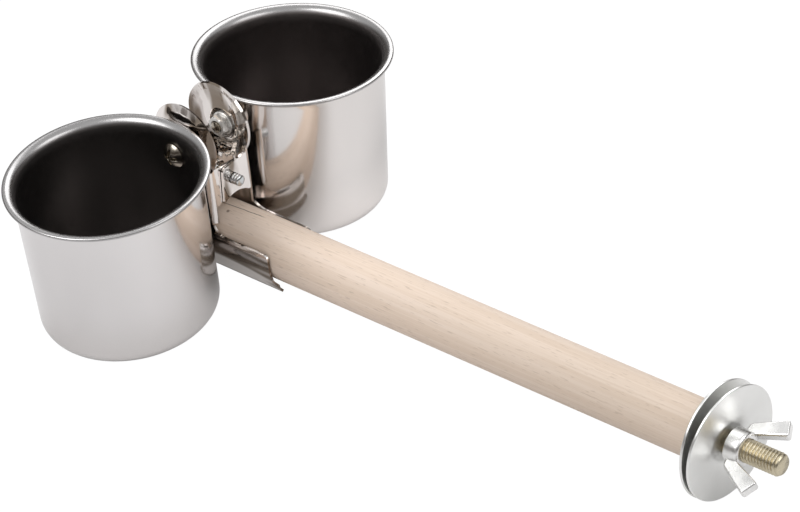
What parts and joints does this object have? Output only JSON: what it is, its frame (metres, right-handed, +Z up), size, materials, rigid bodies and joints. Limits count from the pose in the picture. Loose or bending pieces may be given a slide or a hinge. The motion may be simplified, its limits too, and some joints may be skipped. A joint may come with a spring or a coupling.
{
  "type": "double seed cup perch",
  "caption": "Cage perch with steel seed cups bolted to a sprung clip that grips one end of a wooden dowel, and a stud with washers and wing nut at the other end.",
  "frame": {"origin": "middle of the footprint, on the surface that the cups and the washers stand on", "axes": "+X along the dowel from the clip to the wing nut, seen from above; +Y towards the right cup; +Z up. The dowel itself rises 1.41 degrees towards +X because the washers are lower than the clip's cups"},
  "size_m": [0.2852, 0.1638, 0.0671],
  "materials": {
    "dowel_wood": "smooth sanded beech, bare",
    "stud_zinc": "yellow zinc plated steel thread",
    "washer_zinc": "bright zinc plate",
    "wing_zinc": "bright zinc plated casting",
    "clip_nickel": "polished nickel plate",
    "pin_zinc": "zinc plated rod",
    "spring_steel": "nickel plated spring wire",
    "cup_steel": "satin outside, dark drawn steel inside",
    "screw_nickel": "nickel plated",
    "nut_zinc": "zinc plated"
  },
  "bodies": {
    "perch": {"perch_dowel": "dowel_wood", "hanger_bolt": "stud_zinc", "inner_washer": "washer_zinc"},
    "clamp_washer": {"outer_washer": "washer_zinc"},
    "wing": {"wing_nut": "wing_zinc"},
    "clip_pivot": {"pivot_pin": "pin_zinc", "torsion_spring": "spring_steel"},
    "left_arm": {"left_clip_half": "clip_nickel", "left_cup": "cup_steel", "left_cup_screw": "screw_nickel", "left_cup_nut": "nut_zinc"},
    "right_arm": {"right_clip_half": "clip_nickel", "right_cup": "cup_steel", "right_cup_screw": "screw_nickel", "right_cup_nut": "nut_zinc"}
  },
  "joints": [
    {"name": "washer_slide", "type": "slide", "parent": "perch", "child": "clamp_washer", "axis": [0.9997, 0, 0.0246], "range_m": [-0.001, 0.006]},
    {"name": "wing_turn", "type": "hinge", "parent": "clamp_washer", "child": "wing", "pos_m": [0.12194, 0, 0.0204], "axis": [0.9997, 0, 0.0246], "range_deg": [-288, 1728]},
    {"name": "clip_slide", "type": "slide", "parent": "perch", "child": "clip_pivot", "axis": [0.9997, 0, 0.0246], "range_m": [0, 0.16]},
    {"name": "left_squeeze", "type": "hinge", "parent": "clip_pivot", "child": "left_arm", "pos_m": [-0.10494, 0, 0.03732], "axis": [-0.9997, 0, -0.0246], "range_deg": [0, 12], "stiffness_Nm_per_rad": 0.5, "springref_deg": -34.38, "deforming": ["torsion_spring"]},
    {"name": "right_squeeze", "type": "hinge", "parent": "clip_pivot", "child": "right_arm", "pos_m": [-0.10494, 0, 0.03732], "axis": [0.9997, 0, 0.0246], "range_deg": [0, 12], "stiffness_Nm_per_rad": 0.5, "springref_deg": -34.38, "deforming": ["torsion_spring"]}
  ],
  "couplings": [
    {"joint": "wing_turn", "follows": "washer_slide", "rad_per_m": 5026.5},
    {"joint": "right_squeeze", "follows": "left_squeeze", "ratio": 1}
  ]
}
